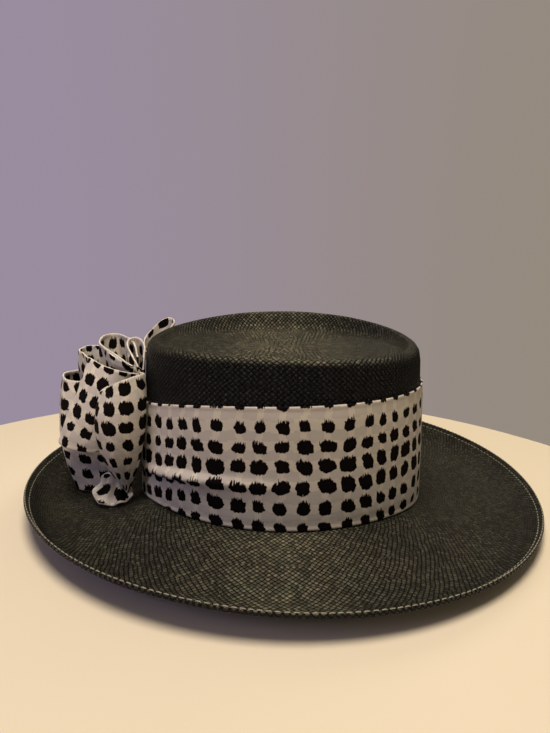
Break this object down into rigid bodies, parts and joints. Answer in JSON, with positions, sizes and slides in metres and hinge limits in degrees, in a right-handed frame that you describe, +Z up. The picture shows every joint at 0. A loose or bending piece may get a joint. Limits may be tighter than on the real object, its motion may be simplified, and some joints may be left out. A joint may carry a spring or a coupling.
{
  "type": "woven straw boater hat",
  "caption": "Oval straw boater with a sunken tip, a curved brim with a turned-up lip, a wide printed cloth band with a tuck, and a soft looped bow at the back.",
  "frame": {"origin": "under the middle of the brim, on the surface that the hat rests on", "axes": "+X to the hat's front, -X to its back with the bow, +Z up; the side with the tuck in the band is -Y"},
  "size_m": [0.358, 0.329, 0.1192],
  "materials": {
    "straw": "fine diagonal basket weave of black straw, satin",
    "cloth": "matt cream cloth printed with rows of black brush daubs"
  },
  "bodies": {
    "root": {"crown": "straw", "brim": "straw", "hat_band": "cloth", "bow_knot": "cloth", "bow_loop_near": "cloth", "bow_loop_side": "cloth", "bow_loop_outer": "cloth", "bow_loop_back": "cloth", "bow_loop_small": "cloth", "bow_loop_far": "cloth", "bow_tail": "cloth"}
  },
  "joints": []
}
